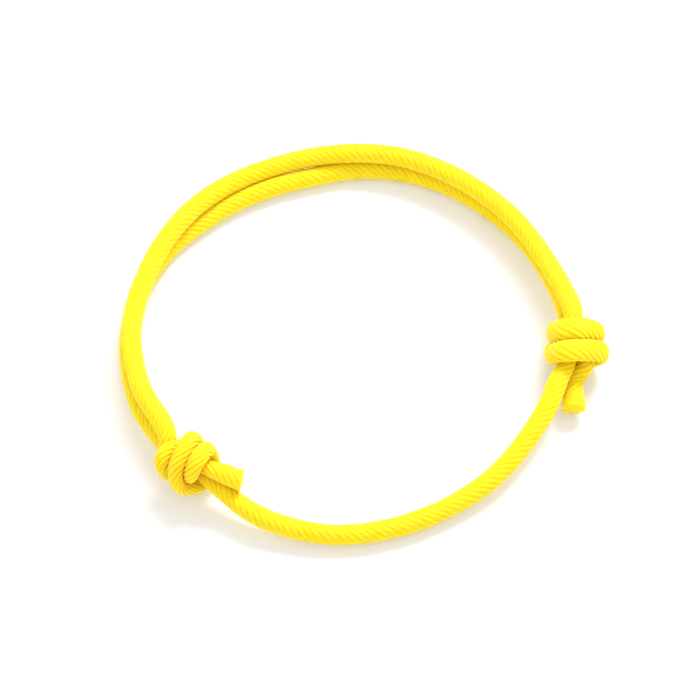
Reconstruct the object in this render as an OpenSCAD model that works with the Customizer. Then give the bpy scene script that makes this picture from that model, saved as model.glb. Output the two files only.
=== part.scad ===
// Rope bracelet: one twisted cord, tied round itself in two sliding double overhand knots.
// The back of the loop is doubled and the front is single. It lies flat, as put down on a table.
// Bearings are measured round the middle of the loop, from the right-hand side, seen from above.

/* [Cord] */
// Diameter of the cord where nothing squeezes it
cord_d = 2.5; // [2.3:0.05:2.5]
// Number of flats round the cord
cord_sides = 8; // [6:1:10]
// Number of rings from one point of the route to the next
ring_steps = 2; // [1:1:3]

/* [Left knot] */
// Size of the knot and of the cord inside it, against a knot of uncompressed cord
left_size = 0.95; // [0.93:0.01:0.97]
// Bearing of the knot's middle
left_bearing = 223.2; // [222.6:0.2:223.8]
// Distance of the knot's middle from the middle of the loop
left_out = 26.4; // [26.2:0.1:26.6]
// Height of the knot's middle
left_up = 3.1; // [3.0:0.05:3.2]
// Heading of the strand that runs through the knot
left_heading = -48; // [-50:1:-46]
// Rise of that strand
left_pitch = 6; // [4:1:8]
// Turn of the knot about that strand, from the crossing side up
left_roll = -30; // [-33:1:-27]
// Lean of the wraps along that strand, for each step to its side
left_side_lean = 0.06; // [0.04:0.01:0.08]
// Widening of the wraps towards the single side, for each step along that strand
left_widening = 0.06; // [0.04:0.01:0.08]

/* [Right knot] */
// Size of the knot and of the cord inside it, against a knot of uncompressed cord
right_size = 0.99; // [0.97:0.01:1.01]
// Bearing of the knot's middle
right_bearing = -2.4; // [-2.8:0.2:-2.0]
// Distance of the knot's middle from the middle of the loop
right_out = 28.8; // [28.6:0.1:29.0]
// Height of the knot's middle
right_up = 4.9; // [4.85:0.05:5.1]
// Heading of the strand that runs through the knot
right_heading = -95; // [-97:1:-93]
// Rise of that strand
right_pitch = -5; // [-7:1:-3]
// Turn of the knot about that strand: half a turn puts the crossing side down
right_roll = 160; // [155:1:165]
// Lean of the wraps along that strand, for each step to its side
right_side_lean = 0.09; // [0.07:0.01:0.11]
// Lean of the wraps along that strand, for each step above it
right_up_lean = 0.35; // [0.32:0.01:0.38]
// Widening of the wraps towards the single side, for each step along that strand
right_widening = 0.11; // [0.09:0.01:0.12]

/* [Cut ends] */
// Width of the splayed tips against the cord
tip_spread = 1.14; // [1:0.02:1.2]

/* [Hidden] */
cord_colour = "yellow";

// From the middle of the loop to the origin, under the middle of the whole bracelet
origin_shift = [-2.15, -0.77, 0];

// First half of each knot, in cord diameters: along the strand inside, to its side, above it, and the
// width and thickness of the pressed cord
// It starts on the doubled side; the second half is the same turned half round, and ends at the tail
// In the left knot the second wrap is drawn in beside the turn that crosses over it
left_half_knot = [
    [-1.12, -0.48,  0.80, 0.84, 0.77],
    [-0.60, -0.48,  0.74, 0.84, 0.80],
    [-0.06, -0.47,  0.74, 0.82, 0.80],
    [ 0.40, -0.44,  0.79, 0.82, 0.78],
    [ 0.72, -0.36,  1.00, 0.84, 0.78],
    [ 0.89, -0.12,  1.33, 0.86, 0.74],
    [ 0.93,  0.28,  1.56, 0.92, 0.70],
    [ 0.88,  0.72,  1.54, 0.94, 0.70],
    [ 0.74,  1.08,  1.26, 0.92, 0.68],
    [ 0.57,  1.23,  0.78, 0.92, 0.68],
    [ 0.53,  1.11,  0.28, 0.98, 0.68],
    [ 0.56,  0.82, -0.18, 1.08, 0.70],
    [ 0.60,  0.45, -0.65, 1.16, 0.70],
    [ 0.61,  0.00, -0.80, 1.20, 0.70],
    [ 0.61, -0.45, -0.65, 1.18, 0.70],
    [ 0.60, -0.82, -0.18, 1.12, 0.70],
    [ 0.56, -1.08,  0.26, 1.02, 0.70],
    [ 0.48, -1.21,  0.72, 0.98, 0.70],
    [ 0.33, -1.03,  1.18, 0.98, 0.70],
    [ 0.12, -0.58,  1.50, 0.98, 0.70]
];
right_half_knot = [
    [-1.30, -0.52,  0.78, 0.90, 0.86],
    [-0.64, -0.48,  0.75, 0.84, 0.80],
    [-0.06, -0.47,  0.74, 0.82, 0.80],
    [ 0.40, -0.44,  0.79, 0.82, 0.78],
    [ 0.74, -0.36,  1.00, 0.84, 0.78],
    [ 0.90, -0.12,  1.32, 0.88, 0.74],
    [ 0.92,  0.28,  1.54, 0.94, 0.70],
    [ 0.88,  0.74,  1.52, 1.00, 0.70],
    [ 0.82,  1.14,  1.25, 1.04, 0.70],
    [ 0.77,  1.33,  0.78, 1.06, 0.70],
    [ 0.72,  1.20,  0.28, 1.12, 0.70],
    [ 0.68,  0.86, -0.20, 1.18, 0.70],
    [ 0.65,  0.45, -0.65, 1.20, 0.70],
    [ 0.62,  0.00, -0.80, 1.20, 0.70],
    [ 0.59, -0.45, -0.65, 1.20, 0.70],
    [ 0.56, -0.82, -0.18, 1.18, 0.70],
    [ 0.49, -1.07,  0.26, 1.10, 0.70],
    [ 0.40, -1.21,  0.72, 1.02, 0.70],
    [ 0.28, -1.05,  1.18, 0.98, 0.70],
    [ 0.12, -0.60,  1.50, 0.98, 0.70]
];
top_of_knot = [0, 0, 1.60, 0.98, 0.70];
// The strand inside each knot, in the same columns, from the doubled side to the single side
left_core = [
    [-1.00,  0.00, 0, 0.90, 0.86],
    [ 0.00,  0.00, 0, 0.86, 0.80],
    [ 1.15,  0.00, 0, 0.92, 0.88]
];
right_core = [
    [-1.00,  0.00, 0.00, 0.90, 0.86],
    [ 0.00, -0.02, 0.02, 0.86, 0.80],
    [ 1.15, -0.16, 0.14, 0.90, 0.86]
];

// Runs between the knots: bearing, distance from the middle of the loop, height
upper_run = [
    [211, 26.8, 5.0], [198, 27.3, 5.0], [184, 27.6, 4.65], [172, 27.7, 4.3], [160, 27.7, 4.0],
    [148, 28.0, 3.8], [136, 28.4, 3.5], [124, 28.7, 2.9], [112, 28.8, 2.5], [100, 28.8, 2.8],
    [88, 28.7, 3.45], [76, 28.8, 3.7], [64, 28.6, 3.85], [52, 28.4, 4.0], [40, 28.3, 4.2],
    [28, 28.2, 4.45], [16, 28.6, 4.9], [7, 29.2, 5.4]
];
lower_run = [
    [211, 27.2, 2.3], [204, 27.7, 2.35], [196, 28.0, 2.3], [184, 28.1, 2.15], [172, 28.1, 1.8],
    [160, 28.2, 1.5], [148, 27.9, 1.25], [136, 27.2, 1.25], [124, 26.8, 1.25], [112, 26.6, 1.25],
    [100, 26.7, 1.25], [88, 27.5, 1.25], [76, 28.1, 1.25], [64, 28.3, 1.35], [52, 28.3, 1.5],
    [40, 28.4, 1.7], [28, 28.5, 1.95], [16, 28.7, 2.35], [8, 28.9, 2.8]
];
front_run = [
    [346, 27.7, 4.1], [338, 27.4, 3.5], [326, 26.9, 2.75], [314, 26.8, 2.1], [302, 26.6, 1.65],
    [290, 26.65, 1.45], [278, 26.9, 1.45], [266, 27.2, 1.5], [254, 27.25, 1.9], [243, 27.2, 2.6]
];
// Cut ends in the same columns, from the tip to the knot on the left and from the knot to the tip on the
// right. The left one turns a little before its tip, so its cut face is slanted
left_end = [[238.1, 25.0, 4.9], [236.8, 25.2, 4.95], [233.2, 25.6, 5.2]];
right_end = [[348.6, 29.65, 2.4], [342, 30.5, 2.0]];

// Rows of the knot that belong to the run before it and to the tail after it, out of sight
entry_rows = 1;
tail_rows = 1;

function unit(v) = v / norm(v);
function turned_round(list) = [for (i = [len(list) - 1 : -1 : 0]) list[i]];

// A route point is its place, its width and its thickness, in cord diameters
function run_point(row, wide) = [row[1] * cos(row[0]), row[1] * sin(row[0]), row[2], wide, wide];
function run_points(rows) = [for (row = rows) run_point(row, 1)];
function end_points(rows, tip) = [for (i = [0 : len(rows) - 1]) run_point(rows[i], i == tip ? tip_spread : 1)];

// A knot's place is its middle, its forward, sideways and upward directions, its size, leans and widening
function knot_place(bearing, out, up, heading, pitch, roll, hand, size, side_lean, up_lean, widening) =
    let (
        forward = [cos(heading) * cos(pitch), sin(heading) * cos(pitch), sin(pitch)],
        left = [-sin(heading), cos(heading), 0],
        above = cross(forward, left)
    )
    [[out * cos(bearing), out * sin(bearing), up], forward,
        hand * (cos(roll) * left - sin(roll) * above), cos(roll) * above + sin(roll) * left,
        size, side_lean, up_lean, widening];
function knot_points(place, rows) = [
    for (row = rows)
        let (
            along = row[0] - place[5] * row[1] - place[6] * row[2],
            side = row[1] * (1 + place[7] * row[0]),
            size = place[4]
        )
        concat(place[0] + size * cord_d * (along * place[1] + side * place[2] + row[2] * place[3]),
            size * [row[3], row[4]])
];
function whole_knot(half) =
    concat(half, [top_of_knot], [for (row = turned_round(half)) [-row[0], -row[1], row[2], row[3], row[4]]]);

left_place = knot_place(left_bearing, left_out, left_up, left_heading, left_pitch, left_roll, 1,
    left_size, left_side_lean, 0, left_widening);
right_place = knot_place(right_bearing, right_out, right_up, right_heading, right_pitch, right_roll, -1,
    right_size, right_side_lean, right_up_lean, right_widening);

// The whole cord, from the tip of the left tail to the tip of the right tail
sections = [
    end_points(left_end, 0),
    turned_round(knot_points(left_place, whole_knot(left_half_knot))),
    run_points(upper_run),
    knot_points(right_place, right_core),
    run_points(front_run),
    turned_round(knot_points(left_place, left_core)),
    run_points(lower_run),
    knot_points(right_place, whole_knot(right_half_knot)),
    end_points(right_end, len(right_end) - 1)
];
route = [for (section = sections) each section];
function first_of(section) = section == 0 ? 0 : first_of(section - 1) + len(sections[section - 1]);

// Smooth curve through the route points
function between(a, b, c, d, t) =
    0.5 * (2 * b + (c - a) * t + (2 * a - 5 * b + 4 * c - d) * t * t + (3 * b - a - 3 * c + d) * t * t * t);
last = len(route) - 1;
curve = [
    for (i = [0 : last - 1], step = [0 : ring_steps - 1])
        between(route[max(i - 1, 0)], route[i], route[i + 1], route[min(i + 2, last)], step / ring_steps),
    route[last]
];
function place_of(i) = [curve[i][0], curve[i][1], curve[i][2]];
// A knot presses the cord along the line from the middle of the bundle of strands
function squeeze_of(i) =
    let (
        p = place_of(i),
        knot = norm(p - left_place[0]) < norm(p - right_place[0]) ? left_place : right_place,
        v = p - knot[0] - 0.35 * cord_d * knot[3]
    )
    v - (v * knot[1]) * knot[1];
rings = len(curve);
tangents = [
    for (i = [0 : rings - 1]) unit(place_of(min(i + 1, rings - 1)) - place_of(max(i - 1, 0)))
];

// The direction of the first flat is carried along the cord without twisting
function carried(v, tangent) = unit(v - (v * tangent) * tangent);
flats = [
    for (
        i = 0, v = carried([0, 0, 1], tangents[0]);
        i < rings;
        i = i + 1, v = carried(v, tangents[min(i, rings - 1)])
    ) v
];

function ring(i) =
    let (
        squeeze = carried(squeeze_of(i), tangents[i]),
        across = cross(tangents[i], squeeze),
        wide = curve[i][3] * cord_d / 2,
        thin = curve[i][4] * cord_d / 2
    )
    [for (k = [0 : cord_sides - 1])
        let (
            angle = 360 * k / cord_sides,
            v = cos(angle) * flats[i] + sin(angle) * cross(tangents[i], flats[i])
        )
        place_of(i) + thin * (v * squeeze) * squeeze + wide * (v * across) * across];

// The stretch of cord from one route point to another, closed at both ends
module cord(from, to) {
    list = [for (i = [from * ring_steps : to * ring_steps]) ring(i)];
    n = cord_sides;
    count = len(list);
    sides = [
        for (i = [0 : count - 2], k = [0 : n - 1])
            [(i + 1) * n + k, (i + 1) * n + (k + 1) % n, i * n + (k + 1) % n, i * n + k]
    ];
    start_cap = [for (k = [0 : n - 1]) k];
    end_cap = [for (k = [n - 1 : -1 : 0]) (count - 1) * n + k];
    color(cord_colour)
        translate(origin_shift)
            polyhedron(
                points = [for (r = list) each r],
                faces = concat(sides, [start_cap, end_cap]),
                convexity = 10
            );
}

// Route points where one node ends and the next begins
left_tail_end = first_of(1) + tail_rows;
left_knot_end = first_of(2) - 1 - entry_rows;
upper_end = first_of(3) + 1;
front_end = first_of(5) + 1;
lower_end = first_of(7) + entry_rows;
right_knot_end = first_of(8) - 1 - tail_rows;

module left_tail() cord(0, left_tail_end);
module left_knot() cord(left_tail_end, left_knot_end);
module upper_strand() cord(left_knot_end, upper_end);
module front_strand() cord(upper_end, front_end);
module lower_strand() cord(front_end, lower_end);
module right_knot() cord(lower_end, right_knot_end);
module right_tail() cord(right_knot_end, last);

left_tail();
left_knot();
upper_strand();
front_strand();
lower_strand();
right_knot();
right_tail();
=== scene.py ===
# Rope bracelet: one twisted yellow cord, tied round itself in two sliding double overhand knots.
# It lies on a pale table. Every shape is worked out with numpy along one route, from tip to tip.
import math
from itertools import accumulate

import bpy
import numpy as np
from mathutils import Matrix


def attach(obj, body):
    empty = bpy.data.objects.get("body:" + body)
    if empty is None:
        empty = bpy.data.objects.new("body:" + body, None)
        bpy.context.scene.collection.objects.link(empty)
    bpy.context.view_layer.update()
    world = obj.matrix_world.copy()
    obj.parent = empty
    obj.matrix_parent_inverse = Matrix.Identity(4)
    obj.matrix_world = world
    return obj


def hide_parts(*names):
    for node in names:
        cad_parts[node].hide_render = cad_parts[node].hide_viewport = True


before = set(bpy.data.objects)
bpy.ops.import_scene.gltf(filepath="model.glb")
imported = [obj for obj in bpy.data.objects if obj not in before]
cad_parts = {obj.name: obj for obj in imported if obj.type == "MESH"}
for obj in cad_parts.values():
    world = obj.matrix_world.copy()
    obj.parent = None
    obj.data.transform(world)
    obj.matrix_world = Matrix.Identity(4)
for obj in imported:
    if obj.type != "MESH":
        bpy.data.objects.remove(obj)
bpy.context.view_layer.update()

mm = 0.001

# The photograph's camera: it looks along +Y and down, from far enough to be nearly flat
view = {
    "target": (-1.75 * mm, -1.81 * mm, 2.455 * mm),  # a little in front of the loop's middle
    "elevation": 60,                                 # degrees above the floor
    "distance": 400 * mm,
    "pictureWidth": 90.2 * mm,                       # what the picture spans at the target
    "sensor": 36,                                    # the sensor's width, in Blender's own mm
    "clip": (1 * mm, 10),
}


def makeCamera(settings):
    # The camera stands at target + reach (0, -cos(elevation), sin(elevation)) and looks at the target. Its
    # lens is sensor * reach / picture width
    camera = bpy.data.objects.new("camera", bpy.data.cameras.new("camera"))
    bpy.context.scene.collection.objects.link(camera)
    tilt = math.radians(settings["elevation"])
    x, y, z = settings["target"]
    reach = settings["distance"]
    camera.location = (x, y - reach * math.cos(tilt), z + reach * math.sin(tilt))
    camera.rotation_euler = (math.pi / 2 - tilt, 0, 0)
    camera.data.sensor_width = settings["sensor"]
    camera.data.lens = settings["sensor"] * reach / settings["pictureWidth"]
    camera.data.clip_start, camera.data.clip_end = settings["clip"]
    bpy.context.scene.camera = camera


makeCamera(view)

# The cord: nine soft strands laid to the right round each other
cord = {
    "diameter": 2.5 * mm,
    "fullness": 1.04,              # the soft outer yarn swells past the firm cord by this much
    "strands": 9,
    "layLength": 8.75 * mm,        # one turn of a strand round the cord
    "grooveDepth": 0.09,           # between two strands, as a share of the cord's radius
    "opening": 2.1,                # how much deeper a groove gets as a knot presses the cord flat
    "strandArc": 0.8,              # how far round its own circle a strand shows, as a sine
    "facesPerStrand": 10,
    "ringSpacing": 0.2 * mm,
    "swell": 0.012,                # how much its thickness wanders, as a share
    "swellWaves": (13, 5.3, 3.1),  # in mm along the cord
    "slip": 5,                     # how much its lay wanders, in degrees
    "slipWaves": (31, 17, 9),
    "waveLead": 1.7,               # radians from each wave to the next, so that they don't peak together
    "curveSteps": 24,              # steps of the smooth curve from one route point to the next
    "bundleRise": 0.35,            # how far a knot's middle lies above the strand inside it, in diameters
    "ownStretch": 3.5 * mm,        # cord this near along its length doesn't count as another stretch
    "creviceWidth": 0.4 * mm,      # how far from another stretch a crevice's shade reaches
    "creviceStep": 4,              # gaps are measured to every fourth ring
    "openCrevice": 0.2,            # how strong that shade is outside the knots
    "pressedThin": 0.8,            # a cord that a knot presses to this thickness has the full shade
}

# From the middle of the loop to the origin, under the middle of the whole bracelet
loopMiddle = np.array([-2.15, -0.77, 0]) * mm

# Each knot: its middle by bearing, distance and height, the direction of the strand inside it, and how it
# leans and widens. Then the first half of its own cord, and the strand inside, both in cord diameters:
# along the strand inside, to its side, above it, and the width and thickness of the pressed cord
leftKnot = {
    "bearing": 223.2, "out": 26.4 * mm, "up": 3.1 * mm,
    "heading": -48, "pitch": 6, "roll": -30, "hand": 1,
    "size": 0.95, "sideLean": 0.06, "upLean": 0, "widening": 0.06,
    "half": [
        (-1.12, -0.48, 0.80, 0.84, 0.77), (-0.60, -0.48, 0.74, 0.84, 0.80), (-0.06, -0.47, 0.74, 0.82, 0.80),
        (0.40, -0.44, 0.79, 0.82, 0.78), (0.72, -0.36, 1.00, 0.84, 0.78), (0.89, -0.12, 1.33, 0.86, 0.74),
        (0.93, 0.28, 1.56, 0.92, 0.70), (0.88, 0.72, 1.54, 0.94, 0.70), (0.74, 1.08, 1.26, 0.92, 0.68),
        (0.57, 1.23, 0.78, 0.92, 0.68), (0.53, 1.11, 0.28, 0.98, 0.68), (0.56, 0.82, -0.18, 1.08, 0.70),
        (0.60, 0.45, -0.65, 1.16, 0.70), (0.61, 0.00, -0.80, 1.20, 0.70), (0.61, -0.45, -0.65, 1.18, 0.70),
        (0.60, -0.82, -0.18, 1.12, 0.70), (0.56, -1.08, 0.26, 1.02, 0.70), (0.48, -1.21, 0.72, 0.98, 0.70),
        (0.33, -1.03, 1.18, 0.98, 0.70), (0.12, -0.58, 1.50, 0.98, 0.70),
    ],
    "core": [(-1.00, 0, 0, 0.90, 0.86), (0, 0, 0, 0.86, 0.80), (1.15, 0, 0, 0.92, 0.88)],
}
rightKnot = {
    "bearing": -2.4, "out": 28.8 * mm, "up": 4.9 * mm,
    "heading": -95, "pitch": -5, "roll": 160, "hand": -1,
    "size": 0.99, "sideLean": 0.09, "upLean": 0.35, "widening": 0.11,
    "half": [
        (-1.30, -0.52, 0.78, 0.90, 0.86), (-0.64, -0.48, 0.75, 0.84, 0.80), (-0.06, -0.47, 0.74, 0.82, 0.80),
        (0.40, -0.44, 0.79, 0.82, 0.78), (0.74, -0.36, 1.00, 0.84, 0.78), (0.90, -0.12, 1.32, 0.88, 0.74),
        (0.92, 0.28, 1.54, 0.94, 0.70), (0.88, 0.74, 1.52, 1.00, 0.70), (0.82, 1.14, 1.25, 1.04, 0.70),
        (0.77, 1.33, 0.78, 1.06, 0.70), (0.72, 1.20, 0.28, 1.12, 0.70), (0.68, 0.86, -0.20, 1.18, 0.70),
        (0.65, 0.45, -0.65, 1.20, 0.70), (0.62, 0.00, -0.80, 1.20, 0.70), (0.59, -0.45, -0.65, 1.20, 0.70),
        (0.56, -0.82, -0.18, 1.18, 0.70), (0.49, -1.07, 0.26, 1.10, 0.70), (0.40, -1.21, 0.72, 1.02, 0.70),
        (0.28, -1.05, 1.18, 0.98, 0.70), (0.12, -0.60, 1.50, 0.98, 0.70),
    ],
    "core": [(-1.00, 0, 0, 0.90, 0.86), (0, -0.02, 0.02, 0.86, 0.80), (1.15, -0.16, 0.14, 0.90, 0.86)],
}
topOfKnot = (0, 0, 1.60, 0.98, 0.70)

# Runs between the knots: bearing in degrees, distance from the middle of the loop and height in metres
upperRun = [
    (211, 0.0268, 0.0050), (198, 0.0273, 0.0050), (184, 0.0276, 0.00465), (172, 0.0277, 0.0043),
    (160, 0.0277, 0.0040), (148, 0.0280, 0.0038), (136, 0.0284, 0.0035), (124, 0.0287, 0.0029),
    (112, 0.0288, 0.0025), (100, 0.0288, 0.0028), (88, 0.0287, 0.00345), (76, 0.0288, 0.0037),
    (64, 0.0286, 0.00385), (52, 0.0284, 0.0040), (40, 0.0283, 0.0042), (28, 0.0282, 0.00445),
    (16, 0.0286, 0.0049), (7, 0.0292, 0.0054),
]
lowerRun = [
    (211, 0.0272, 0.0023), (204, 0.0277, 0.00235), (196, 0.0280, 0.0023), (184, 0.0281, 0.00215),
    (172, 0.0281, 0.0018), (160, 0.0282, 0.0015), (148, 0.0279, 0.00125), (136, 0.0272, 0.00125),
    (124, 0.0268, 0.00125), (112, 0.0266, 0.00125), (100, 0.0267, 0.00125), (88, 0.0275, 0.00125),
    (76, 0.0281, 0.00125), (64, 0.0283, 0.00135), (52, 0.0283, 0.0015), (40, 0.0284, 0.0017),
    (28, 0.0285, 0.00195), (16, 0.0287, 0.00235), (8, 0.0289, 0.0028),
]
frontRun = [
    (346, 0.0277, 0.0041), (338, 0.0274, 0.0035), (326, 0.0269, 0.00275), (314, 0.0268, 0.0021),
    (302, 0.0266, 0.00165), (290, 0.02665, 0.00145), (278, 0.0269, 0.00145), (266, 0.0272, 0.0015),
    (254, 0.02725, 0.0019), (243, 0.0272, 0.0026),
]
# Cut ends, from the tip to the knot on the left and from the knot to the tip on the right. The left one
# turns a little before its tip, so its cut face is slanted
leftEnd = [(238.1, 0.0250, 0.0049), (236.8, 0.0252, 0.00495), (233.2, 0.0256, 0.0052)]
rightEnd = [(348.6, 0.02965, 0.0024), (342, 0.0305, 0.0020)]
tipSpread = 1.14  # width of a splayed tip against the cord


def unit(v):
    # v / |v|
    return v / np.linalg.norm(v, axis=-1, keepdims=True)


def aroundLoop(rows, tip=None):
    # Bearing b, distance r and height z give the point (r cos b, r sin b, z), with full width and thickness,
    # and a splayed tip
    bearing, distance, height = np.array(rows).T
    bearing = np.radians(bearing)
    full = np.ones_like(distance)
    if tip is not None:
        full[tip] = tipSpread
    return np.stack([distance * np.cos(bearing), distance * np.sin(bearing), height, full, full], axis=1)


def placeKnot(knot):
    # Forward is the heading tipped by the pitch. Side and up are turned about it by the roll, and the hand
    # says which way the side points
    heading, pitch, roll = (math.radians(knot[k]) for k in ("heading", "pitch", "roll"))
    middle = aroundLoop([(knot["bearing"], knot["out"], knot["up"])])[0, :3]
    level = np.array([math.cos(heading), math.sin(heading), 0])
    forward = math.cos(pitch) * level + math.sin(pitch) * np.array([0, 0, 1])
    left = np.array([-math.sin(heading), math.cos(heading), 0])
    above = np.cross(forward, left)
    side = knot["hand"] * (math.cos(roll) * left - math.sin(roll) * above)
    up = math.cos(roll) * above + math.sin(roll) * left
    return {"middle": middle, "forward": forward, "side": side, "up": up}


def wholeKnot(knot):
    # The second half is the first turned half round
    half = knot["half"]
    return np.array(half + [topOfKnot] + [(-a, -b, c, d, e) for a, b, c, d, e in reversed(half)])


def alongKnot(knot, rows):
    # A row is carried into the knot's own axes, leaning along the strand in step with its side and height,
    # and its side grows in step with the way along
    place = placeKnot(knot)
    along, side, up, width, thickness = np.array(rows).T
    leant = along - knot["sideLean"] * side - knot["upLean"] * up
    side = side * (1 + knot["widening"] * along)
    steps = np.stack([leant, side, up], axis=1) @ np.stack([place["forward"], place["side"], place["up"]])
    points = place["middle"] + knot["size"] * cord["diameter"] * steps
    return np.column_stack([points, knot["size"] * width, knot["size"] * thickness])


def smoothCurve(points, steps):
    # Between points b and c, with neighbours a and d and t from 0 to 1: half of
    # 2b + (c - a) t + (2a - 5b + 4c - d) t^2 + (3b - a - 3c + d) t^3
    last = len(points) - 1
    a, b, c, d = (points[np.clip(np.arange(last) + k, 0, last), None] for k in (-1, 0, 1, 2))
    t = (np.arange(steps) / steps)[None, :, None]
    curve = 2 * b + (c - a) * t + (2 * a - 5 * b + 4 * c - d) * t**2 + (3 * b - a - 3 * c + d) * t**3
    return np.vstack([0.5 * curve.reshape(-1, points.shape[1]), points[-1:]])


# The whole cord in order, from the tip of the left tail to the tip of the right tail
sections = {
    "leftEnd": aroundLoop(leftEnd, tip=0),
    "leftKnot": alongKnot(leftKnot, wholeKnot(leftKnot))[::-1],
    "upperRun": aroundLoop(upperRun),
    "rightHeart": alongKnot(rightKnot, rightKnot["core"]),
    "frontRun": aroundLoop(frontRun),
    "leftHeart": alongKnot(leftKnot, leftKnot["core"])[::-1],
    "lowerRun": aroundLoop(lowerRun),
    "rightKnot": alongKnot(rightKnot, wholeKnot(rightKnot)),
    "rightEnd": aroundLoop(rightEnd, tip=-1),
}
firstOf = dict(zip(sections, np.cumsum([0] + [len(rows) for rows in sections.values()])))
route = np.vstack(list(sections.values()))

# Route points where one piece of cord ends and the next begins, out of sight in a knot
cuts = {
    "start": 0,
    "leftTail": firstOf["leftKnot"] + 1,
    "leftKnot": firstOf["upperRun"] - 2,
    "upperStrand": firstOf["rightHeart"] + 1,
    "frontStrand": firstOf["leftHeart"] + 1,
    "lowerStrand": firstOf["rightKnot"] + 1,
    "rightKnot": firstOf["rightEnd"] - 2,
    "rightTail": len(route) - 1,
}


def layRings(points, settings):
    # Rings at even distances along the smooth curve. The first flat is carried from ring to ring by dropping
    # its part along each new tangent t: v - (v . t) t, made one long
    curve = smoothCurve(points, settings["curveSteps"])
    length = np.append(0, np.cumsum(np.linalg.norm(np.diff(curve[:, :3], axis=0), axis=1)))
    count = round(length[-1] / settings["ringSpacing"])
    at = np.linspace(0, length[-1], count + 1)
    rows = np.stack([np.interp(at, length, column) for column in curve.T], axis=1)
    tangent = unit(np.gradient(rows[:, :3], axis=0))
    first = unit(np.cross(tangent[0], (1.0, 0.0, 0.0)))
    flat = np.array(list(accumulate(tangent[1:], lambda v, t: unit(v - (v @ t) * t), initial=first)))
    return {
        "place": rows[:, :3], "width": rows[:, 3], "thickness": rows[:, 4],
        "tangent": tangent, "flat": flat, "across": np.cross(tangent, flat), "length": at,
        "atRoutePoint": np.searchsorted(at, length[::settings["curveSteps"]]).clip(0, count),
    }


def pressedFrom(place):
    # A knot presses the cord away from the line through the middle of its bundle of strands: the part of
    # v = place - middle - rise * diameter * up that isn't along the strand, for the nearer knot
    away, near = [], []
    for knot in (leftKnot, rightKnot):
        axes = placeKnot(knot)
        v = place - axes["middle"] - cord["bundleRise"] * cord["diameter"] * axes["up"]
        away.append(v - np.outer(v @ axes["forward"], axes["forward"]))
        near.append(np.linalg.norm(place - axes["middle"], axis=1))
    return np.where((near[0] < near[1])[:, None], away[0], away[1])


def wander(length, waves, lead):
    # The mean of sin(2 pi length / wave + k lead) over the waves, which are counted by k from 0
    parts = [np.sin(2 * math.pi * length / (wave * mm) + k * lead) for k, wave in enumerate(waves)]
    return sum(parts) / len(parts)


rings = layRings(route, cord)
print("cord is", round(rings["length"][-1] * 1000, 1), "mm long, in", len(rings["length"]), "rings")


def strandProfile(settings):
    # Each strand is an arc of a circle, x from -1 to 1 across it and a the sine where two strands meet:
    # h = (sqrt(1 - (a x)^2) - sqrt(1 - a^2)) / (1 - sqrt(1 - a^2)), and the groove is 1 - h.
    # Its points stand closer beside the grooves, at x = -cos(180 j / n)
    n, strands, a = settings["facesPerStrand"], settings["strands"], settings["strandArc"]
    x = -np.cos(math.pi * np.arange(n) / n)
    low = math.sqrt(1 - a**2)
    height = (np.sqrt(1 - (a * x)**2) - low) / (1 - low)
    middles = 2 * math.pi * np.arange(strands) / strands
    return (middles[:, None] + math.pi / strands * x).ravel(), 1 - np.tile(height, strands)


def cordRings(first, last, settings):
    # The profile turns by 2 pi length / lay, so its columns follow the strands. Its offset is stretched to
    # the thickness along the press of the knot and to the width beside it, and then to the radius
    # r (1 - groove depth * groove * (1 + opening * (1 - thickness)))
    part = slice(first, last + 1)
    length, place = rings["length"][part], rings["place"][part]
    tangent, flat, across = (rings[k][part] for k in ("tangent", "flat", "across"))
    press = pressedFrom(place)
    press = unit(press - (press * tangent).sum(1, keepdims=True) * tangent)
    sideways = np.cross(tangent, press)
    angle, groove = strandProfile(settings)
    slip = math.radians(settings["slip"]) * wander(length, settings["slipWaves"], settings["waveLead"])
    turned = angle[None, :] + (2 * math.pi * length / settings["layLength"] + slip)[:, None]
    out = np.cos(turned)[..., None] * flat[:, None] + np.sin(turned)[..., None] * across[:, None]
    swell = 1 + settings["swell"] * wander(length, settings["swellWaves"], settings["waveLead"])
    thin = rings["thickness"][part] * swell
    wide = rings["width"][part] * swell
    offset = ((out * press[:, None]).sum(2) * thin[:, None])[..., None] * press[:, None]
    offset += ((out * sideways[:, None]).sum(2) * wide[:, None])[..., None] * sideways[:, None]
    opened = 1 + settings["opening"] * (1 - rings["thickness"][part]).clip(0)
    depth = opened[:, None] * groove[None, :]
    radius = settings["fullness"] * settings["diameter"] / 2
    offset *= radius * (1 - settings["grooveDepth"] * depth)[..., None]
    grid = place[:, None] + offset
    return {
        "grid": grid, "turned": turned, "length": length, "groove": depth / opened.max(),
        "paintedCreviceShade": creviceShade(grid, length, settings),
    }


def creviceShade(grid, length, settings):
    # The gap to the nearest other stretch is the distance to its middle line less its half thickness. The
    # painted shade, which the colour takes where the cord lies against itself, is exp(-gap / crevice width),
    # times a share that grows from the open one to 1 as a knot presses
    step = slice(None, None, settings["creviceStep"])
    middles, along = rings["place"][step], rings["length"][step]
    half = settings["diameter"] / 2 * rings["thickness"][step]
    points = grid.reshape(-1, 3)
    square = (points**2).sum(1)[:, None] + (middles**2).sum(1)[None] - 2 * points @ middles.T
    gap = np.sqrt(square.clip(0)) - half[None]
    own = np.abs(length[:, None] - along[None]) < settings["ownStretch"]
    gap = np.where(np.repeat(own, grid.shape[1], axis=0), np.inf, gap).min(1)
    shade = np.exp(-gap.clip(0) / settings["creviceWidth"]).reshape(grid.shape[:2])
    thickness = np.interp(length, rings["length"], rings["thickness"])
    return shade * np.interp(thickness, [settings["pressedThin"], 1], [1, settings["openCrevice"]])[:, None]


# How an end closes: the rings of a dome by degrees up its side, or those of a flat end by share of its radius
capRings = {"dome": (15, 35, 55, 75), "flat": (0.75, 0.5, 0.25)}


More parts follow.
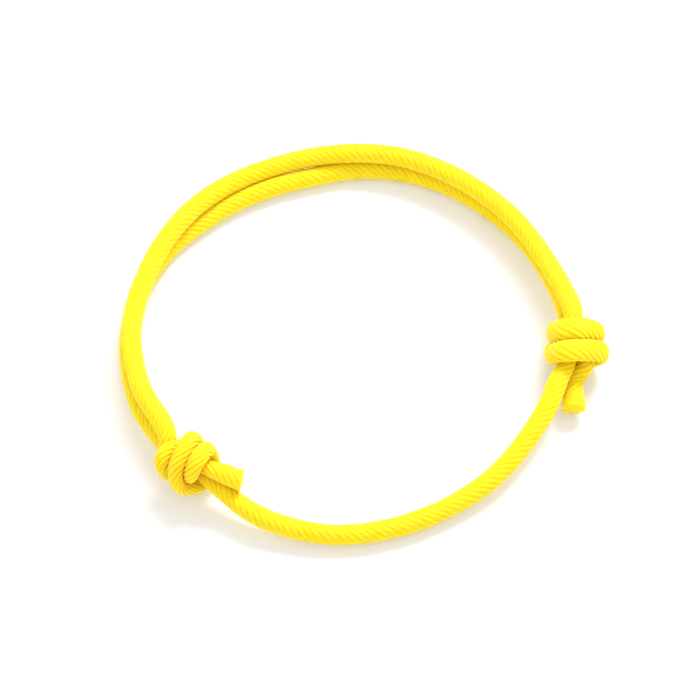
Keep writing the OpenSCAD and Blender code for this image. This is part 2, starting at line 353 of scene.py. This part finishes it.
def capEnd(ring, inner, dome):
    # Each cap ring is the end ring shrunk by s about its middle and moved out by dome * sqrt(1 - s^2), where
    # a dome's s is the cosine of its degrees. The pole is out by the dome's height
    middle = ring.mean(0)
    outward = unit(middle - inner.mean(0))
    shrink = np.cos(np.radians(capRings["dome"])) if dome else np.array(capRings["flat"])
    rise = np.sqrt(1 - shrink**2) * dome
    shrunk = middle + (ring - middle) * shrink[:, None, None]
    return shrunk + outward * rise[:, None, None], middle + outward * dome


def closedTube(name, tube, domes):
    # The grid of rings gets a cap at each end and becomes one closed skin, with its faces pointing outwards
    grid = tube["grid"] + loopMiddle
    startRings, startPole = capEnd(grid[0], grid[1], domes[0])
    endRings, endPole = capEnd(grid[-1], grid[-2], domes[1])
    allRings = np.concatenate([startRings[::-1], grid, endRings])
    rows, columns = allRings.shape[:2]
    points = np.concatenate([allRings.reshape(-1, 3), [startPole, endPole]])

    ring, column = np.meshgrid(np.arange(rows - 1), np.arange(columns), indexing="ij")
    low, lowNext = ring * columns + column, ring * columns + (column + 1) % columns
    quads = np.stack([low, lowNext, lowNext + columns, low + columns], axis=-1).reshape(-1, 4)
    startPoleAt, endPoleAt = rows * columns, rows * columns + 1
    startFan = np.stack([np.full(columns, startPoleAt), lowNext[0], low[0]], axis=1)
    endFan = np.stack([np.full(columns, endPoleAt), low[-1] + columns, lowNext[-1] + columns], axis=1)

    mesh = bpy.data.meshes.new(name)
    mesh.from_pydata(points.tolist(), [], quads.tolist() + startFan.tolist() + endFan.tolist())
    mesh.shade_smooth()
    caps = (len(startRings), len(endRings))
    unrollSkin(mesh, tube, caps)
    # Two masks for the painted shade in the colour: how deep each point lies in a groove, and the crevice
    # shade
    for kind in ("groove", "paintedCreviceShade"):
        values = np.pad(tube[kind], (caps, (0, 0)), mode="edge").ravel()
        values = np.append(values, [0.0, 0.0]).astype(np.float32)
        mesh.attributes.new(kind, "FLOAT", "POINT").data.foreach_set("value", values)
    return mesh


def unrollSkin(mesh, tube, caps):
    # The unrolled skin: u is turns round the cord and v is metres along it, and a cap has its end ring's
    turns = np.pad(tube["turned"], (caps, (0, 0)), mode="edge") / (2 * math.pi)
    along = np.pad(tube["length"], caps, mode="edge")
    turns = np.append(turns, turns[:, :1] + 1, axis=1)
    ring, column = np.meshgrid(np.arange(len(along) - 1), np.arange(turns.shape[1] - 1), indexing="ij")
    cornerColumn = np.stack([column, column + 1, column + 1, column], axis=-1)
    cornerRing = np.stack([ring, ring, ring + 1, ring + 1], axis=-1)
    quads = np.stack([turns[cornerRing, cornerColumn], along[cornerRing]], axis=-1)
    k = column[0]
    startTurns = turns[0, np.stack([k, k + 1, k], axis=1)]
    endTurns = turns[-1, np.stack([k, k, k + 1], axis=1)]
    startFan = np.stack([startTurns, np.full_like(startTurns, along[0])], axis=-1)
    endFan = np.stack([endTurns, np.full_like(endTurns, along[-1])], axis=-1)
    corners = np.concatenate([part.reshape(-1, 2) for part in (quads, startFan, endFan)])
    mesh.uv_layers.new(name="skin").data.foreach_set("uv", corners.astype(np.float32).ravel())


def addPiece(name, mesh, nodes, material):
    # A piece stands at the origin, rides the one body and takes the place of its nodes
    piece = bpy.data.objects.new(name, mesh)
    bpy.context.scene.collection.objects.link(piece)
    mesh.materials.append(material)
    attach(piece, "root")
    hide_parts(*nodes)
    return piece


def linear(hexColour):
    # sRGB to linear: ((c + 0.055) / 1.055) ^ 2.4, or c / 12.92 near black
    parts = [int(hexColour[i:i + 2], 16) / 255 for i in (1, 3, 5)]
    return [((c + 0.055) / 1.055) ** 2.4 if c > 0.04045 else c / 12.92 for c in parts] + [1]


def addNode(tree, kind, settings=(), **links):
    # Adds a node with its settings. Each input, by name or as i and its number, gets a link or a value
    node = tree.nodes.new(kind)
    for key, value in dict(settings).items():
        setattr(node, key, value)
    for key, value in links.items():
        socket = node.inputs[int(key[1:]) if key[1:].isdigit() else key.replace("_", " ")]
        if isinstance(value, bpy.types.NodeSocket):
            tree.links.new(value, socket)
        else:
            socket.default_value = value
    return node


# Twisted polyester cord: dyed filament yarn, a saturated yellow that light passes into a little way, so its
# shaded sides turn golden. Its grooves get a painted shade of deeper gold and its crevices a painted orange
# shade. Fine filaments run slantwise over each strand, some of them darker
twistedPolyester = {
    "crown": "#FBE400",
    # depth is a painted shade of deeper gold that the grooves between strands take
    "depth": "#EBC000",
    "grooveShadeShare": 0.45,            # how much of the deeper colour a full groove takes
    # The crevice colour is a painted orange shade where the cord lies against another stretch of itself
    "paintedCreviceShade": "#FF9200",
    "creviceShare": 0.9,
    "filamentWidth": 0.13 * mm,    # a real filament is ten times finer, and this is as fine as shows
    "filamentLength": 1.6 * mm,
    "filamentSlant": 14,           # degrees between the filaments and the cord's length
    "filamentDark": 0.45,          # how much of the deeper colour the darkest filaments take
    "filamentRelief": 0.03 * mm,
    "napDetail": 3.0,
    "napRoughness": 0.6,
    "napRange": (0.5, 0.7),        # from where in the noise a filament darkens to where it is darkest
    "roughness": 0.65,
    "specular": 0.3,
    "sheen": 0.1,
    "softness": 0.8,               # share of the light that spreads inside the yarn before it comes out
    "softReach": 0.75 * mm,
    "softColours": (1, 0.8, 0.2),  # how far red, green and blue light spread, as shares of that reach
}


def makeCordMaterial(settings):
    # nap is noise on the unrolled skin, stretched along the filaments. The colour goes from crown to the
    # painted groove shade (depth) by groove * groove shade share + dark, and from there to the painted
    # crevice shade by painted crevice shade * crevice share
    material = bpy.data.materials.new("twistedPolyesterCord")
    material.use_nodes = True
    tree = material.node_tree
    tree.nodes.clear()
    skin = addNode(tree, "ShaderNodeUVMap", {"uv_map": "skin"}).outputs[0]
    girth = math.pi * cord["diameter"]
    slant = (0, 0, math.radians(settings["filamentSlant"]))
    unrolled = addNode(tree, "ShaderNodeMapping", Vector=skin, Scale=(girth, 1, 1), Rotation=slant).outputs[0]
    grain = (1 / settings["filamentWidth"], 1 / settings["filamentLength"], 1)
    yarn = addNode(tree, "ShaderNodeMapping", Vector=unrolled, Scale=grain).outputs[0]
    nap = addNode(tree, "ShaderNodeTexNoise", Vector=yarn, Scale=1.0, Detail=settings["napDetail"],
                  Roughness=settings["napRoughness"]).outputs[0]
    groove = addNode(tree, "ShaderNodeAttribute", {"attribute_name": "groove"}).outputs["Fac"]
    paintedCreviceShade = addNode(tree, "ShaderNodeAttribute", {"attribute_name": "paintedCreviceShade"}).outputs["Fac"]
    napLow, napHigh = settings["napRange"]
    dark = addNode(tree, "ShaderNodeMapRange", Value=nap, From_Min=napLow, From_Max=napHigh,
                   To_Min=0.0, To_Max=settings["filamentDark"]).outputs[0]
    # Painted groove shade, with the random darker filaments added
    shade = addNode(tree, "ShaderNodeMath", {"operation": "MULTIPLY_ADD", "use_clamp": True},
                    i0=groove, i1=settings["grooveShadeShare"], i2=dark).outputs[0]
    yellow = addNode(tree, "ShaderNodeMix", {"data_type": "RGBA"}, i0=shade,
                     i6=linear(settings["crown"]), i7=linear(settings["depth"])).outputs[2]
    # Painted crevice shade
    creviceShadeAmount = addNode(tree, "ShaderNodeMath", {"operation": "MULTIPLY"},
                     i0=paintedCreviceShade, i1=settings["creviceShare"]).outputs[0]
    colour = addNode(tree, "ShaderNodeMix", {"data_type": "RGBA"}, i0=creviceShadeAmount,
                     i6=yellow, i7=linear(settings["paintedCreviceShade"])).outputs[2]
    relief = addNode(tree, "ShaderNodeBump", Height=nap, Distance=settings["filamentRelief"], Strength=1.0)
    shader = addNode(tree, "ShaderNodeBsdfPrincipled", Base_Color=colour, Normal=relief.outputs[0])
    shader.inputs["Roughness"].default_value = settings["roughness"]
    shader.inputs["Specular IOR Level"].default_value = settings["specular"]
    shader.inputs["Subsurface Weight"].default_value = settings["softness"]
    shader.inputs["Subsurface Radius"].default_value = settings["softColours"]
    shader.inputs["Subsurface Scale"].default_value = settings["softReach"]
    shader.inputs["Sheen Weight"].default_value = settings["sheen"]
    addNode(tree, "ShaderNodeOutputMaterial", Surface=shader.outputs[0])
    return material


cordMaterial = makeCordMaterial(twistedPolyester)

# One piece for each node, and how far each of its ends is domed: only the two cut ends show
pieces = {
    "leftTail": {"node": "left_tail", "domes": (0.25 * mm, 0)},
    "leftKnot": {"node": "left_knot", "domes": (0, 0)},
    "upperStrand": {"node": "upper_strand", "domes": (0, 0)},
    "frontStrand": {"node": "front_strand", "domes": (0, 0)},
    "lowerStrand": {"node": "lower_strand", "domes": (0, 0)},
    "rightKnot": {"node": "right_knot", "domes": (0, 0)},
    "rightTail": {"node": "right_tail", "domes": (0, 0.25 * mm)},
}
made = {}
begin = 0
for name, facts in pieces.items():
    end = int(rings["atRoutePoint"][cuts[name]])
    tube = cordRings(begin, end, cord)
    mesh = closedTube(name, tube, facts["domes"])
    piece = addPiece(name, mesh, [facts["node"]], cordMaterial)
    made[name] = {"piece": piece, "rings": slice(begin, end + 1), "tube": tube}
    begin = end
    print(name, "has", len(mesh.polygons), "faces")

# Loose fibres: a few stand off the yarn everywhere, more where the right tail is pulled out of its knot, and
# a short brush of them stands on each cut end
fibres = {
    "everywhere": 1500,
    "pulledOut": 70,
    "length": (0.7 * mm, 2.0 * mm),
    "pulledLength": (1.2 * mm, 3.2 * mm),
    "brushes": {
        "leftTail": {"end": 0, "count": 30, "length": (0.1 * mm, 0.2 * mm)},
        "rightTail": {"end": -1, "count": 130, "length": (0.3 * mm, 0.6 * mm)},
    },
    "creviceLimit": 0.25,        # none start where the crevice's shade is stronger than this
    "floorLimit": 0.4 * mm,      # or lower than this above the table
    "stand": 0.13,               # how far a fibre bows off the cord, as a share of its length
    "bow": 2.4,                  # radians of a sine that its bow follows
    "stray": 20,                 # degrees off the direction of its strand
    "bend": 0.15,                # sideways, as a share of its length
    "brushArea": 0.95,           # share of the cut face that the brush stands on
    "brushSpread": 0.5,          # how far the brush leans out at the rim
    "brushStray": 0.15,
    "thickness": 0.045 * mm,
    "thinning": 2 / 3,           # share of its thickness that it loses towards its tip
    "floorGap": 0.03 * mm,       # no fibre comes nearer to the table than this
    "steps": 6,
    "seed": 7,
}


def fibresOnCord(names, count, length, settings, rng):
    # Starts at random on the open side of the cord. A strand runs along t + (2 pi r / lay) (t x o), where t
    # is the cord's direction and o points out of it, and each fibre strays from that
    tubes = [made[name]["tube"] for name in names]
    rows = np.concatenate([np.arange(len(rings["length"]))[made[name]["rings"]] for name in names])
    grid = np.concatenate([tube["grid"] for tube in tubes])
    paintedCreviceShade = np.concatenate([tube["paintedCreviceShade"] for tube in tubes])
    row, column = rng.integers(0, grid.shape[0], 2 * count), rng.integers(0, grid.shape[1], 2 * count)
    uncovered = paintedCreviceShade[row, column] < settings["creviceLimit"]
    free = np.flatnonzero(uncovered & (grid[row, column, 2] > settings["floorLimit"]))[:count]
    row, column = row[free], column[free]
    start = grid[row, column]
    out = unit(start - rings["place"][rows[row]])
    tangent = rings["tangent"][rows[row]]
    twist = math.pi * cord["diameter"] / cord["layLength"]
    strand = unit(tangent + twist * np.cross(tangent, out)) * rng.choice([-1, 1], len(free))[:, None]
    stray = np.radians(rng.normal(0, settings["stray"], len(free)))[:, None]
    heading = np.cos(stray) * strand + np.sin(stray) * np.cross(out, strand)
    return start, heading, out, rng.uniform(*length, len(free)), settings["stand"]


def fibresOnEnd(name, brush, settings, rng):
    # Starts all over the cut face. A fibre points out + spread * share * rim, where share is its place on the
    # way from the middle to the rim and rim points to the rim, and strays from that
    end, count = brush["end"], brush["count"]
    ring = made[name]["tube"]["grid"][end]
    inner = made[name]["tube"]["grid"][end + 1 if end == 0 else end - 1]
    outward = unit(ring.mean(0) - inner.mean(0))
    share = np.sqrt(rng.uniform(0, settings["brushArea"], count))[:, None]
    rim = ring[rng.integers(0, len(ring), count)] - ring.mean(0)
    start = ring.mean(0) + share * rim
    astray = rng.normal(0, settings["brushStray"], (count, 3))
    heading = unit(outward + settings["brushSpread"] * share * unit(rim) + astray)
    out = unit(np.cross(heading, rng.normal(0, 1, (count, 3))))
    return start, heading, out, rng.uniform(*brush["length"], count), 0.0


def fibreTubes(groups, settings, rng):
    # Each fibre follows start + length (u heading + stand sin(bow u) out + bend u^2 side) for u from 0 to 1,
    # as a tube of three sides whose radius is r (1 - thinning u)
    start, heading, out, length = (np.concatenate([group[k] for group in groups]) for k in range(4))
    stand = np.concatenate([np.full(len(group[0]), group[4]) for group in groups])[:, None, None]
    side = np.cross(heading, out)
    bend = rng.normal(0, settings["bend"], len(start))[:, None, None]
    u = np.linspace(0, 1, settings["steps"])[None, :, None]
    bowed = stand * np.sin(settings["bow"] * u) * out[:, None]
    path = u * heading[:, None] + bowed + bend * u**2 * side[:, None]
    path = start[:, None] + length[:, None, None] * path
    corner = 2 * math.pi * np.arange(3) / 3
    across = np.cos(corner)[:, None] * side[:, None] + np.sin(corner)[:, None] * out[:, None]
    radius = settings["thickness"] / 2 * (1 - settings["thinning"] * u)
    points = path[:, :, None] + radius[..., None] * across[:, None]
    points[..., 2] = points[..., 2].clip(settings["floorGap"])
    return points


def addFibres(settings):
    # Every fibre has a triangle at each of its steps, quads between them, and a triangle to close each end
    rng = np.random.default_rng(settings["seed"])
    groups = [
        fibresOnCord(list(made), settings["everywhere"], settings["length"], settings, rng),
        fibresOnCord(["rightTail"], settings["pulledOut"], settings["pulledLength"], settings, rng),
    ]
    groups += [fibresOnEnd(name, brush, settings, rng) for name, brush in settings["brushes"].items()]
    points = fibreTubes(groups, settings, rng)
    count, steps = points.shape[:2]
    fibre, step, k = np.meshgrid(np.arange(count), np.arange(steps - 1), np.arange(3), indexing="ij")
    low = (fibre * steps + step) * 3
    following = (k + 1) % 3
    quads = np.stack([low + k, low + following, low + 3 + following, low + 3 + k], axis=-1).reshape(-1, 4)
    first = np.arange(count)[:, None] * steps * 3
    caps = np.concatenate([first + [2, 1, 0], first + 3 * (steps - 1) + [0, 1, 2]])
    mesh = bpy.data.meshes.new("looseFibres")
    mesh.from_pydata((points.reshape(-1, 3) + loopMiddle).tolist(), [], quads.tolist() + caps.tolist())
    mesh.shade_smooth()
    mesh.materials.append(cordMaterial)
    piece = bpy.data.objects.new("looseFibres", mesh)
    bpy.context.scene.collection.objects.link(piece)
    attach(piece, "root")
    print("loose fibres:", count)


addFibres(fibres)

# The short tails go with the knots that they leave. The loop skips them and does nothing with the other
# stretches
tails = {"leftKnot": "leftTail", "rightKnot": "rightTail"}
for name, facts in made.items():
    if name in tails.values():
        continue

# A white table and two soft lamps behind it, one of them on the right. The table's glow is painted fill
# light: it lightens the shadows on it, and its cool tint offsets the yellow light that the cord throws there
studio = {
    "floorSize": 3.0,
    "floorColour": "#E4E4E4",
    "floorRoughness": 0.9,
    "floorFillGlow": 0.2,
    "fillGlowColour": "#E4E4F4",
    "skyColour": "#FFFFFF",
    "sky": 0.95,
    "lamps": {
        "rightSoftbox": {"bearing": 60, "elevation": 48, "distance": 0.8, "size": 0.2, "watts": 4.4},
        "backSoftbox": {"bearing": 84, "elevation": 54, "distance": 0.8, "size": 0.2, "watts": 1.4},
    },
}


def makeStudio(settings):
    # Each lamp is at distance * (cos(elevation) cos(bearing), cos(elevation) sin(bearing), sin(elevation))
    # and points at the origin
    half = settings["floorSize"] / 2
    corners = [(-half, -half, 0), (half, -half, 0), (half, half, 0), (-half, half, 0)]
    mesh = bpy.data.meshes.new("floor")
    mesh.from_pydata(corners, [], [(0, 1, 2, 3)])
    floor = bpy.data.objects.new("floor", mesh)
    bpy.context.scene.collection.objects.link(floor)
    table = bpy.data.materials.new("whiteTableWithPaintedFill")
    table.use_nodes = True
    shader = table.node_tree.nodes["Principled BSDF"]
    shader.inputs["Base Color"].default_value = linear(settings["floorColour"])
    shader.inputs["Roughness"].default_value = settings["floorRoughness"]
    # The table's glow is painted fill light that lightens and cools the shadows on it
    shader.inputs["Emission Color"].default_value = linear(settings["fillGlowColour"])
    shader.inputs["Emission Strength"].default_value = settings["floorFillGlow"]
    mesh.materials.append(table)

    world = bpy.data.worlds.new("sky")
    bpy.context.scene.world = world
    world.use_nodes = True
    background = world.node_tree.nodes["Background"]
    background.inputs["Color"].default_value = linear(settings["skyColour"])
    background.inputs["Strength"].default_value = settings["sky"]

    for name, lamp in settings["lamps"].items():
        light = bpy.data.lights.new(name, "AREA")
        light.size = lamp["size"]
        light.energy = lamp["watts"]
        holder = bpy.data.objects.new(name, light)
        bpy.context.scene.collection.objects.link(holder)
        bearing, elevation = math.radians(lamp["bearing"]), math.radians(lamp["elevation"])
        away = lamp["distance"] * math.cos(elevation)
        rise = lamp["distance"] * math.sin(elevation)
        holder.location = (away * math.cos(bearing), away * math.sin(bearing), rise)
        holder.rotation_euler = (-holder.location).to_track_quat("-Z", "Y").to_euler()


makeStudio(studio)
bpy.context.scene.view_settings.view_transform = "Standard"
print("studio ready")
